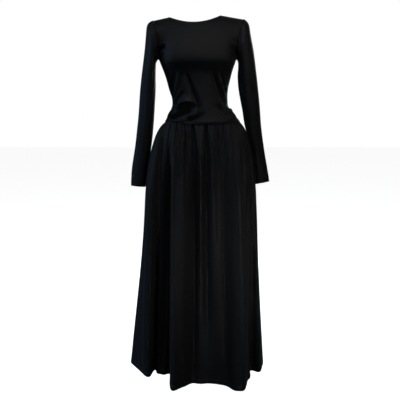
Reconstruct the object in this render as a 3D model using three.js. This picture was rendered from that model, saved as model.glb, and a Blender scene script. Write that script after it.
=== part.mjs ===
// Long-sleeved maxi dress in black jersey: a fitted bodice with a boat neck, a gathered skirt that
// hangs in long folds, and two set-in sleeves. It keeps the hollow form that it has when worn.
// Millimetres, +Z up, the front faces -Y. The origin lies between the shoulders, at neck height.
// A turn is an angle round the body: 0 the left side, 90 the front, 180 the right side, 270 the back.

import * as THREE from 'three';

// Driving dimensions
const clothThickness = 1.8;
const seamGap = 0.3;
const seamShift = seamGap / 2;
const waistCentreX = 13;
const waistHalfWidth = 140;
const waistFrontDepth = 100;
const waistBackDepth = 95;
const hipHeight = -640;
const hemHeight = -1323;
const hipFlarePower = 0.45;
const underarmHeight = -154;
const shoulderSeamY = 6;
const sleeveSides = 20;
const sleeveRings = 17;
const bodiceRows = 18;
const upperShare = 0.46;
const bustRowPower = 1.3;
const swayPower = 2.3;
const shoulderColumns = 3;
const neckColumns = 14;
const columnsPerGather = 4;
const backGathers = 20;
const backGather = { depth: 4.2, depthSwing: 1.4, length: 80, lengthSwing: 35 };
const gatherShape = { atSeam: 0.4, fullDepth: 14, fallPower: 1.5 };
const outlineSquareness = 2.3;

// Height of the waist seam round the body
const waistSeam = [
  { turn: 0, height: -384 },
  { turn: 45, height: -380 },
  { turn: 78, height: -391 },
  { turn: 100, height: -391 },
  { turn: 125, height: -386 },
  { turn: 180, height: -384 },
  { turn: 270, height: -384 },
  { turn: 360, height: -384 },
];

// Sections of the bodice from the waist seam to the underarm
const bodiceSections = [
  { height: -394, left: -127, right: 153, front: -100, back: 95 },
  { height: -384, left: -127, right: 153, front: -100, back: 95 },
  { height: -372, left: -121, right: 145, front: -97, back: 92 },
  { height: -354, left: -115, right: 130, front: -91, back: 85 },
  { height: -332, left: -102, right: 111, front: -85, back: 76 },
  { height: -300, left: -99, right: 105, front: -80, back: 70 },
  { height: -266, left: -109, right: 106, front: -83, back: 72 },
  { height: -223, left: -122, right: 116, front: -91, back: 80 },
  { height: -198, left: -131, right: 123, front: -98, back: 86 },
  { height: -180, left: -138, right: 129, front: -110, back: 90 },
  { height: -165, left: -144, right: 134, front: -117, back: 93 },
  { height: -154, left: -149, right: 138, front: -118, back: 95 },
];

// Where the bodice columns change from armhole to shoulder to neck, as turns at the waist
const columnTurns = { shoulderLeft: 38, neckLeft: 52, neckRight: 124, shoulderRight: 141 };

// Both ends of each shoulder seam, and the lowest points of the neck edge
const shoulders = {
  left: { neckX: -111, neckZ: -4.5, tipX: -168, tipZ: -17, underarmX: -149 },
  right: { neckX: 80, neckZ: 2.5, tipX: 163, tipZ: -12, underarmX: 138 },
};
const neckEdge = {
  front: { y: -46, drop: 24, upperCurve: 1.7 },
  back: { y: 50, drop: 22, upperCurve: 2.2 },
};
const neckRoundness = 0.85;
const shoulderCurve = 2.1;
const armhole = { front: -56, back: 62, inwardBow: 5 };
const underarmSpread = 10;

// How many sleeve sections it takes to leave the form of the armhole
const armholeSections = 3;

// Largest creases pulled into the bodice front: a soft ridge between two points
const bodiceCreases = [
  { fromX: -72, fromZ: -318, toX: -14, toZ: -292, width: 11, height: 6 },
  { fromX: -108, fromZ: -372, toX: -22, toZ: -336, width: 13, height: -6 },
  { fromX: -48, fromZ: -352, toX: 0, toZ: -348, width: 12, height: 5 },
  { fromX: -40, fromZ: -378, toX: 20, toZ: -352, width: 10, height: -4 },
  { fromX: 66, fromZ: -225, toX: 96, toZ: -315, width: 10, height: 4 },
  { fromX: 70, fromZ: -322, toX: 104, toZ: -352, width: 9, height: 4 },
  { fromX: -28, fromZ: -258, toX: -4, toZ: -338, width: 10, height: -3 },
];

// Sleeve sections from the armhole to the cuff: the inner and outer edge, and how far each
// section reaches to the front and back
const sleeveLeftSections = [
  { innerX: -149, innerZ: -154, outerX: -168, outerZ: -17, front: -56, back: 62 },
  { innerX: -153, innerZ: -158, outerX: -180, outerZ: -26, front: -59, back: 64 },
  { innerX: -156, innerZ: -163, outerX: -188, outerZ: -42, front: -61, back: 65 },
  { innerX: -159, innerZ: -171, outerX: -192, outerZ: -76, front: -61, back: 65 },
  { innerX: -160, innerZ: -187, outerX: -199, outerZ: -130, front: -60, back: 64 },
  { innerX: -161, innerZ: -216, outerX: -208, outerZ: -198, front: -56, back: 62 },
  { innerX: -162, innerZ: -266, outerX: -216, outerZ: -263, front: -49, back: 60 },
  { innerX: -164.5, innerZ: -335, outerX: -222, outerZ: -335, front: -40, back: 60 },
  { innerX: -169.5, innerZ: -410, outerX: -230, outerZ: -410, front: -30, back: 61 },
  { innerX: -179, innerZ: -487, outerX: -241, outerZ: -487, front: -20, back: 61 },
  { innerX: -193, innerZ: -562, outerX: -252.5, outerZ: -562, front: -11, back: 62 },
  { innerX: -203, innerZ: -627, outerX: -257.5, outerZ: -623, front: -6, back: 64 },
];
const sleeveRightSections = [
  { innerX: 138, innerZ: -154, outerX: 163, outerZ: -12, front: -56, back: 62 },
  { innerX: 141, innerZ: -158, outerX: 174, outerZ: -21, front: -59, back: 64 },
  { innerX: 143.5, innerZ: -163, outerX: 182, outerZ: -36, front: -61, back: 65 },
  { innerX: 145, innerZ: -172, outerX: 188, outerZ: -72, front: -61, back: 65 },
  { innerX: 145, innerZ: -188, outerX: 199, outerZ: -130, front: -60, back: 64 },
  { innerX: 143.5, innerZ: -218, outerX: 209, outerZ: -200, front: -56, back: 62 },
  { innerX: 148, innerZ: -270, outerX: 217, outerZ: -266, front: -49, back: 60 },
  { innerX: 162, innerZ: -340, outerX: 225, outerZ: -336, front: -40, back: 60 },
  { innerX: 176.5, innerZ: -410, outerX: 232, outerZ: -410, front: -28, back: 61 },
  { innerX: 199, innerZ: -487, outerX: 243.5, outerZ: -484, front: -18, back: 61 },
  { innerX: 209, innerZ: -562, outerX: 256, outerZ: -556, front: -11, back: 62 },
  { innerX: 215, innerZ: -617, outerX: 266, outerZ: -607, front: -6, back: 64 },
];

// Long folds of the skirt. Each row is the line of a crest or a hollow: its turn at the waist seam,
// then where it lies at hip height and at the hem
const skirtFolds = [
  { turn: -14, hipX: -190, hipY: 30, hemX: -268, hemY: 46 },
  { turn: 6, hipX: -198, hipY: -42, hemX: -233, hemY: -46 },
  { turn: 15, hipX: -181, hipY: -84, hemX: -192, hemY: -126 },
  { turn: 22, hipX: -156, hipY: -78, hemX: -182, hemY: -50 },
  { turn: 30, hipX: -140, hipY: -110, hemX: -158, hemY: -118 },
  { turn: 35, hipX: -125, hipY: -119, hemX: -135, hemY: -123 },
  { turn: 40, hipX: -113, hipY: -112, hemX: -115, hemY: -114 },
  { turn: 44, hipX: -108, hipY: -132, hemX: -107, hemY: -205 },
  { turn: 48, hipX: -98, hipY: -156, hemX: -93, hemY: -256 },
  { turn: 57, hipX: -66, hipY: -150, hemX: -62, hemY: -224 },
  { turn: 77, hipX: -17, hipY: -138, hemX: -22, hemY: -187 },
  { turn: 86, hipX: 8, hipY: -146, hemX: 6, hemY: -191 },
  { turn: 94, hipX: 30, hipY: -138, hemX: 33, hemY: -186 },
  { turn: 112, hipX: 75, hipY: -149, hemX: 80, hemY: -200 },
  { turn: 131, hipX: 109, hipY: -142, hemX: 111, hemY: -228 },
  { turn: 139, hipX: 131, hipY: -148, hemX: 129, hemY: -255 },
  { turn: 145, hipX: 148, hipY: -148, hemX: 156, hemY: -253 },
  { turn: 150, hipX: 162, hipY: -124, hemX: 170, hemY: -205 },
  { turn: 154, hipX: 170, hipY: -108, hemX: 177, hemY: -142 },
  { turn: 159, hipX: 183, hipY: -96, hemX: 190, hemY: -124 },
  { turn: 165, hipX: 192, hipY: -58, hemX: 199, hemY: -50 },
  { turn: 171, hipX: 207, hipY: -50, hemX: 226, hemY: -66 },
  { turn: 178, hipX: 212, hipY: -16, hemX: 245, hemY: -12 },
  { turn: 190, hipX: 203, hipY: 36, hemX: 250, hemY: 54 },
  { turn: 199, hipX: 187, hipY: 70, hemX: 222, hemY: 88 },
  { turn: 209, hipX: 178, hipY: 107, hemX: 224, hemY: 156 },
  { turn: 220, hipX: 148, hipY: 108, hemX: 176, hemY: 146 },
  { turn: 232, hipX: 124, hipY: 145, hemX: 150, hemY: 226 },
  { turn: 241, hipX: 97, hipY: 134, hemX: 122, hemY: 190 },
  { turn: 249, hipX: 78, hipY: 144, hemX: 94, hemY: 206 },
  { turn: 258, hipX: 52, hipY: 138, hemX: 60, hemY: 178 },
  { turn: 269, hipX: 15, hipY: 158, hemX: 20, hemY: 240 },
  { turn: 276, hipX: -14, hipY: 143, hemX: -14, hemY: 196 },
  { turn: 284, hipX: -40, hipY: 148, hemX: -44, hemY: 214 },
  { turn: 292, hipX: -70, hipY: 134, hemX: -82, hemY: 176 },
  { turn: 303, hipX: -104, hipY: 148, hemX: -126, hemY: 232 },
  { turn: 313, hipX: -126, hipY: 116, hemX: -156, hemY: 158 },
  { turn: 324, hipX: -158, hipY: 112, hemX: -208, hemY: 186 },
  { turn: 335, hipX: -167, hipY: 76, hemX: -218, hemY: 110 },
];

// Gathers under the waist seam, across the front: the turn, depth and length of each hollow
const frontGathers = [
  { turn: 0, depth: 3, length: 60 },
  { turn: 9, depth: 4, length: 60 },
  { turn: 17, depth: 4, length: 50 },
  { turn: 25, depth: 4.5, length: 70 },
  { turn: 32, depth: 3.5, length: 45 },
  { turn: 38, depth: 3.5, length: 60 },
  { turn: 44, depth: 5, length: 60 },
  { turn: 51.5, depth: 5.5, length: 95 },
  { turn: 60.5, depth: 4.5, length: 50 },
  { turn: 66, depth: 4.5, length: 95 },
  { turn: 70.5, depth: 4, length: 60 },
  { turn: 77.5, depth: 7, length: 220 },
  { turn: 86, depth: 3, length: 40 },
  { turn: 94, depth: 6, length: 140 },
  { turn: 100, depth: 3, length: 40 },
  { turn: 106, depth: 4.5, length: 70 },
  { turn: 111, depth: 4, length: 60 },
  { turn: 118, depth: 6, length: 90 },
  { turn: 126, depth: 3.5, length: 50 },
  { turn: 134.5, depth: 5.5, length: 160 },
  { turn: 142, depth: 3.5, length: 60 },
  { turn: 149, depth: 4, length: 70 },
  { turn: 156, depth: 4.5, length: 80 },
  { turn: 163, depth: 4.5, length: 110 },
  { turn: 171, depth: 3.5, length: 80 },
];

// Depths below the waist seam, then heights below the hip, where the skirt has a ring of points
const drops = [0, 7, 17, 32, 56, 92, 140, 195];
const lowerHeights = [hipHeight, -860, -1090, hemHeight];

const axisX = new THREE.Vector3(1, 0, 0);
const axisY = new THREE.Vector3(0, 1, 0);
const axisZ = new THREE.Vector3(0, 0, 1);
const degrees = Math.PI / 180;

// A smooth curve through one column of a table
function tableCurve(rows, key, column) {
  const places = rows.map((row) => row[key]);
  const values = rows.map((row) => row[column]);
  const curve = new THREE.CubicInterpolant(places, values, 1);
  return (place) => curve.evaluate(place)[0];
}

const seamCurve = tableCurve(waistSeam, 'turn', 'height');
const waistSeamHeight = (turn) => seamCurve(THREE.MathUtils.euclideanModulo(turn, 360));
const bodiceShape = {
  left: tableCurve(bodiceSections, 'height', 'left'),
  right: tableCurve(bodiceSections, 'height', 'right'),
  front: tableCurve(bodiceSections, 'height', 'front'),
  back: tableCurve(bodiceSections, 'height', 'back'),
};

// Sine or cosine of an angle in degrees, squared off a little as in a rounded outline
function rounded(wave, angle) {
  const value = wave(angle * degrees);
  return Math.sign(value) * Math.abs(value) ** (2 / outlineSquareness);
}

// Rounded outline in plan: a slightly squared ellipse with its own reach on each side
function outlinePoint(left, right, front, back, turn, height) {
  const along = rounded(Math.sin, turn);
  const centre = (left + right) / 2;
  const halfWidth = (right - left) / 2;
  const reach = along >= 0 ? front : -back;
  return new THREE.Vector3(centre - halfWidth * rounded(Math.cos, turn), reach * along, height);
}

function bodiceRing(turn, height) {
  const { left, right, front, back } = bodiceShape;
  return outlinePoint(left(height), right(height), front(height), back(height), turn, height);
}

function waistPoint(turn) {
  const left = waistCentreX - waistHalfWidth;
  const right = waistCentreX + waistHalfWidth;
  const height = waistSeamHeight(turn);
  return outlinePoint(left, right, -waistFrontDepth, waistBackDepth, turn, height);
}

// A closed wall of cloth from a grid of outer points. The wall lies inside them. Where an edge meets
// another piece, squareTo gives the directions that the end face keeps square to
function clothWall(grid, closed, squareTo) {
  const rows = grid.length;
  const columns = grid[0].length;
  const positions = [];
  const inner = [];
  for (let row = 0; row < rows; row += 1) {
    for (let column = 0; column < columns; column += 1) {
      const before = closed ? (column + columns - 1) % columns : Math.max(column - 1, 0);
      const after = closed ? (column + 1) % columns : Math.min(column + 1, columns - 1);
      const along = grid[row][after].clone().sub(grid[row][before]);
      const up = grid[Math.min(row + 1, rows - 1)][column].clone();
      up.sub(grid[Math.max(row - 1, 0)][column]);
      const outward = along.clone().cross(up).normalize();
      const directions = squareTo(row, column);
      const atSide = !closed && (column === 0 || column === columns - 1);
      if (directions.length === 1) {
        const square = (atSide ? up : along).cross(directions[0]).normalize();
        outward.copy(square.multiplyScalar(Math.sign(square.dot(outward))));
      } else {
        directions.forEach((direction) => {
          outward.addScaledVector(direction, -outward.dot(direction)).normalize();
        });
      }
      positions.push(...grid[row][column].toArray());
      inner.push(...grid[row][column].clone().addScaledVector(outward, -clothThickness).toArray());
    }
  }
  positions.push(...inner);
  const faces = [];
  const innerStart = rows * columns;
  const quad = (a, b, c, d) => faces.push(a, b, c, a, c, d);
  const steps = closed ? columns : columns - 1;
  for (let row = 0; row < rows - 1; row += 1) {
    for (let column = 0; column < steps; column += 1) {
      const next = (column + 1) % columns;
      const a = row * columns + column;
      const b = row * columns + next;
      const c = (row + 1) * columns + next;
      const d = (row + 1) * columns + column;
      quad(a, b, c, d);
      quad(innerStart + d, innerStart + c, innerStart + b, innerStart + a);
    }
  }
  for (let column = 0; column < steps; column += 1) {
    const next = (column + 1) % columns;
    const top = (rows - 1) * columns;
    quad(next, column, innerStart + column, innerStart + next);
    quad(top + column, top + next, innerStart + top + next, innerStart + top + column);
  }
  if (!closed) {
    for (let row = 0; row < rows - 1; row += 1) {
      const start = row * columns;
      const end = start + columns - 1;
      const above = columns;
      quad(start, start + above, innerStart + start + above, innerStart + start);
      quad(end + above, end, innerStart + end, innerStart + end + above);
    }
  }
  const geometry = new THREE.BufferGeometry();
  geometry.setAttribute('position', new THREE.Float32BufferAttribute(positions, 3));
  geometry.setIndex(faces);
  geometry.computeVertexNormals();
  return geometry;
}

// Loop of the armhole: 0 at the underarm, 90 at the front, 180 at the shoulder tip
function armholePoint(shoulder, angle) {
  const down = rounded(Math.cos, angle);
  const forward = rounded(Math.sin, angle);
  const centreX = (shoulder.tipX + shoulder.underarmX) / 2;
  const halfX = (shoulder.underarmX - shoulder.tipX) / 2;
  const centreZ = (shoulder.tipZ + underarmHeight) / 2;
  const halfZ = (underarmHeight - shoulder.tipZ) / 2;
  const bow = -Math.sign(shoulder.tipX) * armhole.inwardBow * forward ** 2;
  const level = (1 - down) / 2;
  const reach = forward >= 0 ? armhole.front : -armhole.back;
  const x = centreX + halfX * down + bow;
  return new THREE.Vector3(x, reach * forward + shoulderSeamY * level, centreZ + halfZ * down);
}

// Highest point of a bodice column on the front or back: armhole, shoulder seam or neck edge
function columnTops(side) {
  const tops = [];
  const sign = side === 'front' ? 1 : -1;
  const armholeColumns = sleeveSides / 2;
  const { left, right } = shoulders;
  const seamPoint = (shoulder, part) => {
    const x = THREE.MathUtils.lerp(shoulder.tipX, shoulder.neckX, part);
    const z = THREE.MathUtils.lerp(shoulder.tipZ, shoulder.neckZ, part);
    return new THREE.Vector3(x, shoulderSeamY, z);
  };
  for (let step = 0; step < armholeColumns; step += 1) {
    const turn = (columnTurns.shoulderLeft * step) / armholeColumns;
    const angle = (180 * step) / armholeColumns;
    const edge = angle < underarmSpread ? 'underarm' : 'armhole';
    tops.push({ turn, point: armholePoint(left, sign * angle), curve: shoulderCurve, edge });
  }
  for (let step = 0; step < shoulderColumns; step += 1) {
    const part = step / shoulderColumns;
    const turn = THREE.MathUtils.lerp(columnTurns.shoulderLeft, columnTurns.neckLeft, part);
    const edge = step === 0 ? 'tip' : 'shoulder';
    tops.push({ turn, point: seamPoint(left, part), curve: shoulderCurve, edge });
  }
  for (let step = 0; step <= neckColumns; step += 1) {
    const part = step / neckColumns;
    const turn = THREE.MathUtils.lerp(columnTurns.neckLeft, columnTurns.neckRight, part);
    const { y, drop, upperCurve } = neckEdge[side];
    const scoop = Math.max(Math.sin(part * Math.PI), 0);
    const x = THREE.MathUtils.lerp(left.neckX, right.neckX, 0.5 - Math.cos(part * Math.PI) / 2);
    const rim = THREE.MathUtils.lerp(left.neckZ, right.neckZ, part);
    const depth = shoulderSeamY + (y - shoulderSeamY) * scoop ** neckRoundness;
    const point = new THREE.Vector3(x, depth, rim - drop * scoop ** 2);
    const curve = THREE.MathUtils.lerp(shoulderCurve, upperCurve, scoop);
    tops.push({ turn, point, curve, edge: scoop < 1e-6 ? 'shoulder' : 'neck' });
  }
  for (let step = 1; step <= shoulderColumns; step += 1) {
    const part = step / shoulderColumns;
    const turn = THREE.MathUtils.lerp(columnTurns.neckRight, columnTurns.shoulderRight, part);
    const edge = step === shoulderColumns ? 'tip' : 'shoulder';
    tops.push({ turn, point: seamPoint(right, 1 - part), curve: shoulderCurve, edge });
  }
  for (let step = 1; step <= armholeColumns; step += 1) {
    const part = step / armholeColumns;
    const turn = THREE.MathUtils.lerp(columnTurns.shoulderRight, 180, part);
    const angle = 180 * (1 - part);
    const edge = angle < underarmSpread ? 'underarm' : 'armhole';
    tops.push({ turn, point: armholePoint(right, sign * angle), curve: shoulderCurve, edge });
  }
  return tops;
}

// Outward lift of the creases at a place on the front
function creaseLift(x, z) {
  let lift = 0;
  for (const crease of bodiceCreases) {
    const start = new THREE.Vector2(crease.fromX, crease.fromZ);
    const run = new THREE.Vector2(crease.toX, crease.toZ).sub(start);
    const place = new THREE.Vector2(x, z).sub(start);
    const part = THREE.MathUtils.clamp(place.dot(run) / run.lengthSq(), 0, 1);
    const away = place.addScaledVector(run, -part).length() / crease.width;
    lift += crease.height * Math.exp(-away * away);
  }
  return lift;
}

// One point of the bodice. part runs from the waist seam, 0, to the top of the column, 1. The
// stretch above the underarm takes upperShare of it, less where the column ends on the armhole
function bodicePoint(side, column, part) {
  const turn = side === 'front' ? column.turn : -column.turn;
  const { point: top, curve } = column;
  const aboveUnderarm = Math.max((top.z - underarmHeight) / -underarmHeight, 0);
  const split = 1 - upperShare * Math.min(aboveUnderarm, 1) ** 0.5;
  if (part <= split + 1e-9) {
    const climb = 1 - (1 - part / split) ** bustRowPower;
    const z = THREE.MathUtils.lerp(waistSeamHeight(turn), underarmHeight, climb);
    const point = part === 0 ? waistPoint(turn) : bodiceRing(turn, z);
    if (side === 'front' && part > 0) {
      point.y -= creaseLift(point.x, z) * Math.sin(turn * degrees);
    }
    return point;
  }
  const swing = (Math.PI / 2) * ((part - split) / (1 - split));
  const rise = part === 1 ? 1 : Math.sin(swing) ** (2 / curve);
  const fullness = part === 1 ? 0 : Math.cos(swing) ** (2 / curve);
  const start = bodiceRing(turn, underarmHeight);
  const sway = rise ** swayPower;
  const x = THREE.MathUtils.lerp(start.x, top.x, sway);
  const y = THREE.MathUtils.lerp(top.y, start.y, fullness);
  const z = THREE.MathUtils.lerp(underarmHeight, top.z, rise);
  return new THREE.Vector3(x, y, z);
}

function bodicePanel(side) {
  const shift = side === 'front' ? -seamShift : seamShift;
  let tops = columnTops(side);
  if (side === 'back') {
    tops = tops.reverse();
  }
  const grid = [];
  for (let row = 0; row <= bodiceRows; row += 1) {
    const points = tops.map((column) => bodicePoint(side, column, row / bodiceRows));
    points.forEach((point) => {
      point.y += shift;
    });
    grid.push(points);
  }
  const lastColumn = tops.length - 1;
  return clothWall(grid, false, (row, column) => {
    const directions = [];
    if (row === 0) {
      directions.push(axisZ);
    }
    if (column === 0 || column === lastColumn) {
      directions.push(axisY);
    }
    if (row === bodiceRows && ['shoulder', 'tip'].includes(tops[column].edge)) {
      directions.push(axisY);
    }
    if (row === bodiceRows && ['armhole', 'tip'].includes(tops[column].edge)) {
      directions.push(axisX);
    }
    return directions;
  });
}

// A sleeve: rings that turn from the upright armhole to the level cuff
function sleeve(shoulder, sections) {
  const count = sections.length - 1;
  const rows = sections.map((row, step) => ({ ...row, step }));
  const curves = {};
  for (const column of ['innerX', 'innerZ', 'outerX', 'outerZ', 'front', 'back']) {
    curves[column] = tableCurve(rows, 'step', column);
  }
  const outward = Math.sign(shoulder.tipX);
  const grid = [];
  for (let ring = sleeveRings; ring >= 0; ring -= 1) {
    const step = (ring / sleeveRings) * count;
    const points = [];
    for (let side = 0; side < sleeveSides; side += 1) {
      const angle = -outward * (360 * side) / sleeveSides;
      if (ring === 0) {
        const point = armholePoint(shoulder, angle);
        point.x += outward * seamGap;
        points.push(point);
        continue;
      }
      const inward = rounded(Math.cos, angle);
      const forward = rounded(Math.sin, angle);
      const { innerX, innerZ, outerX, outerZ, front, back } = curves;
      const level = (1 - inward) / 2;
      const fade = Math.max(1 - step / armholeSections, 0);
      const bow = -outward * armhole.inwardBow * forward ** 2 * fade;
      const x = THREE.MathUtils.lerp(innerX(step), outerX(step), level) + bow;
      const z = THREE.MathUtils.lerp(innerZ(step), outerZ(step), level);
      const centreY = (front(step) + back(step)) / 2;
      const halfDepth = (back(step) - front(step)) / 2;
      const roundY = centreY - halfDepth * forward;
      const reach = forward >= 0 ? front(step) : -back(step);
      const armholeY = reach * forward + shoulderSeamY * level;
      points.push(new THREE.Vector3(x, THREE.MathUtils.lerp(roundY, armholeY, fade), z));
    }
    grid.push(points);
  }
  return clothWall(grid, true, (row) => (row === sleeveRings ? [axisX] : []));
}

function gatherRows() {
  const rows = [...frontGathers];
  for (let count = 0; count < backGathers; count += 1) {
    const turn = 180 + (180 * count) / backGathers;
    const depth = backGather.depth + backGather.depthSwing * Math.sin(2.4 * count);
    const length = backGather.length + backGather.lengthSwing * Math.sin(1.7 * count + 1);
    rows.push({ turn, depth, length });
  }
  return rows;
}

// The smooth outline of the long folds at one height, as a closed curve, and the same at the waist
function foldCurves(height) {
  const atHeight = [];
  const atWaist = [];
  for (const fold of skirtFolds) {
    const waist = waistPoint(fold.turn);
    const hip = new THREE.Vector3(fold.hipX, fold.hipY, 0);
    const hem = new THREE.Vector3(fold.hemX, fold.hemY, 0);
    waist.setZ(0);
    atWaist.push(waist);
    if (height > hipHeight) {
      const seamZ = waistSeamHeight(fold.turn);
      const part = Math.max((seamZ - height) / (seamZ - hipHeight), 0);
      atHeight.push(waist.clone().lerp(hip, part ** hipFlarePower));
    } else {
      atHeight.push(hip.lerp(hem, (hipHeight - height) / (hipHeight - hemHeight)));
    }
  }
  return {
    outline: new THREE.CatmullRomCurve3(atHeight, true, 'centripetal'),
    waist: new THREE.CatmullRomCurve3(atWaist, true, 'centripetal'),
  };
}

// Where a turn lies among the fold rows, as a part of the whole loop
function foldPlace(turn) {
  const count = skirtFolds.length;
  const first = skirtFolds[0].turn;
  const wrapped = first + THREE.MathUtils.euclideanModulo(turn - first, 360);
  let index = 0;
  while (index < count - 1 && skirtFolds[index + 1].turn <= wrapped) {
    index += 1;
  }
  const start = skirtFolds[index].turn;
  const end = index < count - 1 ? skirtFolds[index + 1].turn : first + 360;
  return (index + (wrapped - start) / (end - start)) / count;
}

// One ring of the skirt. heightAt gives its height under a place of the seam. The ring that meets
// the seam keeps the waist's own outline
function skirtRing(columns, heightAt, onSeam) {
  const points = [];
  for (const column of columns) {
    const seamZ = waistSeamHeight(column.turn);
    const z = heightAt(seamZ);
    const point = waistPoint(column.turn);
    if (!onSeam) {
      const { outline, waist } = foldCurves(z);
      const place = foldPlace(column.turn);
      point.add(outline.getPoint(place)).sub(waist.getPoint(place));
      const tangent = outline.getTangent(place);
      const below = seamZ - z;
      const growth = Math.min(gatherShape.atSeam + below / gatherShape.fullDepth, 1);
      const fall = Math.exp(-((below / column.length) ** gatherShape.fallPower));
      const wave = 0.5 + 0.5 * Math.cos(2 * Math.PI * column.phase);
      const hollow = column.depth * wave * growth * fall;
      point.x -= tangent.y * hollow;
      point.y += tangent.x * hollow;
    }
    point.z = z;
    points.push(point);
  }
  return points;
}

// Both halves of the skirt share the same rings, and part at the side seams
function skirtPanels() {
  const gathers = gatherRows();
  const columns = [];
  gathers.forEach((gather, index) => {
    const next = gathers[(index + 1) % gathers.length];
    const nextTurn = index + 1 < gathers.length ? next.turn : 360;
    for (let step = 0; step < columnsPerGather; step += 1) {
      const phase = step / columnsPerGather;
      const near = phase <= 0.5 ? gather : next;
      const turn = THREE.MathUtils.lerp(gather.turn, nextTurn, phase);
      columns.push({ turn, phase, depth: near.depth, length: near.length });
    }
  });
  const rings = drops.map((drop) => (
    skirtRing(columns, (seamZ) => seamZ - drop - seamGap, drop === 0)
  ));
  for (const height of lowerHeights) {
    rings.push(skirtRing(columns, () => height, false));
  }
  rings.reverse();
  const split = frontGathers.length * columnsPerGather;
  const half = (from, to, shift) => rings.map((ring) => {
    const points = [...ring, ring[0]].slice(from, to + 1);
    return points.map((point) => new THREE.Vector3(point.x, point.y + shift, point.z));
  });
  const top = rings.length - 1;
  const wall = (grid) => {
    const last = grid[0].length - 1;
    return clothWall(grid, false, (row, column) => {
      const directions = row === top ? [axisZ] : [];
      if (column === 0 || column === last) {
        directions.push(axisY);
      }
      return directions;
    });
  };
  return {
    front: wall(half(0, split, -seamShift)),
    back: wall(half(split, columns.length, seamShift)),
  };
}

function jersey(colour) {
  return new THREE.MeshStandardMaterial({ color: colour, roughness: 0.85, metalness: 0 });
}

function named(name, geometry) {
  const mesh = new THREE.Mesh(geometry, jersey(0x141518));
  mesh.name = name;
  return mesh;
}

const skirt = skirtPanels();
const dress = new THREE.Group();
dress.add(named('bodice_front', bodicePanel('front')));
dress.add(named('bodice_back', bodicePanel('back')));
dress.add(named('sleeve_left', sleeve(shoulders.left, sleeveLeftSections)));
dress.add(named('sleeve_right', sleeve(shoulders.right, sleeveRightSections)));
dress.add(named('skirt_front', skirt.front));
dress.add(named('skirt_back', skirt.back));

export default dress;
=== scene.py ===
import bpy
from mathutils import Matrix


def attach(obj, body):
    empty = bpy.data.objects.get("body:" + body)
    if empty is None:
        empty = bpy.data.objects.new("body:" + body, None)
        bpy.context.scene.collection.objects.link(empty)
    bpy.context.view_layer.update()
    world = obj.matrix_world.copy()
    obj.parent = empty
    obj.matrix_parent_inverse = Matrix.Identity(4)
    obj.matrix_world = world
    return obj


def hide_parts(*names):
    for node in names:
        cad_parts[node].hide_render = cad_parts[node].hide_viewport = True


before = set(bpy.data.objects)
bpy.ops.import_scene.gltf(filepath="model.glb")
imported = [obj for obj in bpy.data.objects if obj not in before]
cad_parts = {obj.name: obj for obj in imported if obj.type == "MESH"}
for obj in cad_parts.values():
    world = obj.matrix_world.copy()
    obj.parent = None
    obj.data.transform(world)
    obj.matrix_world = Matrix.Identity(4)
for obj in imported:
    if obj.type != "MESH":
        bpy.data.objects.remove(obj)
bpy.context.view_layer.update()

import math

import bmesh
import bpy
import numpy as np
from mathutils import Matrix, Vector, noise

# Long-sleeved maxi dress in black jersey. Metres, +Z up, the front faces -Y.
# A turn is an angle round the body: 0 the left side, 90 the front, 180 the right side, 270 the back.

dress = {
    "material": "black_jersey",
    "clothThickness": 0.0011,
    "mergeDistance": 1e-6,
    "seamGap": 0.0003,
    "seamGroove": 0.0011,        # how far cloth dips at a sewn seam
    "seamGrooveWidth": 0.0024,
    "edgeGroove": 0.0001,
    "hemLineWidth": 0.0016,
    "outlineSquareness": 2.3,
    "flatnessPull": 0.55,
    "creaseOverrun": 0.04,       # shares of a crease's length that fade, past its ends and within
    "creaseTaper": 0.24,
    "noiseSeed": 4.7,
}


# Curves and outlines

def rounded(value):
    return np.sign(value) * np.abs(value) ** (2 / dress["outlineSquareness"])


def smoothStep(low, high, at):
    part = np.clip((at - low) / (high - low), 0, 1)
    return part * part * (3 - 2 * part)


def hermite(start, end, rise, fall, part):
    # a smooth curve from start to end, with a slope at each
    return (
        start
        + rise * part
        + (3 * (end - start) - 2 * rise - fall) * part ** 2
        + (2 * (start - end) + rise + fall) * part ** 3
    )


def smoothTable(rows, column, at):
    # a smooth curve through one column of a table, whose first column is the place
    places = np.array([row[0] for row in rows], float)
    values = np.array([row[column] for row in rows], float)
    slopes = np.gradient(values, places)
    at = np.clip(np.asarray(at, float), places[0], places[-1])
    index = np.clip(np.searchsorted(places, at, side="right") - 1, 0, len(places) - 2)
    step = places[index + 1] - places[index]
    rise, fall = slopes[index] * step, slopes[index + 1] * step
    return hermite(values[index], values[index + 1], rise, fall, (at - places[index]) / step)


def lengthAlong(path):
    # how far along a line each of its points lies
    return np.concatenate([[0], np.cumsum(np.linalg.norm(np.diff(path, axis=0), axis=1))])


def bell(away, width):
    return np.exp(-(away / width) ** 2)


def edgeDistance(points, row):
    # how far each point of a grid lies from one row of it, in its own column
    return np.linalg.norm(points - points[row], axis=2)


def outline(left, right, front, back, turn, flatness=0):
    # a slightly squared oval in plan, with its own reach on each side. The flatness is how far the
    # front is squared off
    angle = np.radians(turn)
    along = rounded(np.sin(angle))
    along = np.where(along > 0, np.abs(along) ** (1 - dress["flatnessPull"] * flatness), along)
    across = rounded(np.cos(angle))
    x = (left + right) / 2 - (right - left) / 2 * across
    y = np.where(along >= 0, front, -back) * along
    return x, y


def gridNormals(points, closed=False):
    # outward directions of a grid of points, rows going up and columns going from left over front
    if closed:
        wrapped = np.concatenate([points[:, -2:-1], points, points[:, 1:2]], axis=1)
        along = wrapped[:, 2:] - wrapped[:, :-2]
    else:
        along = np.gradient(points, axis=1)
    up = np.gradient(points, axis=0)
    normals = np.cross(along, up)
    lengths = np.linalg.norm(normals, axis=2, keepdims=True)
    return normals / np.maximum(lengths, 1e-12)


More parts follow.
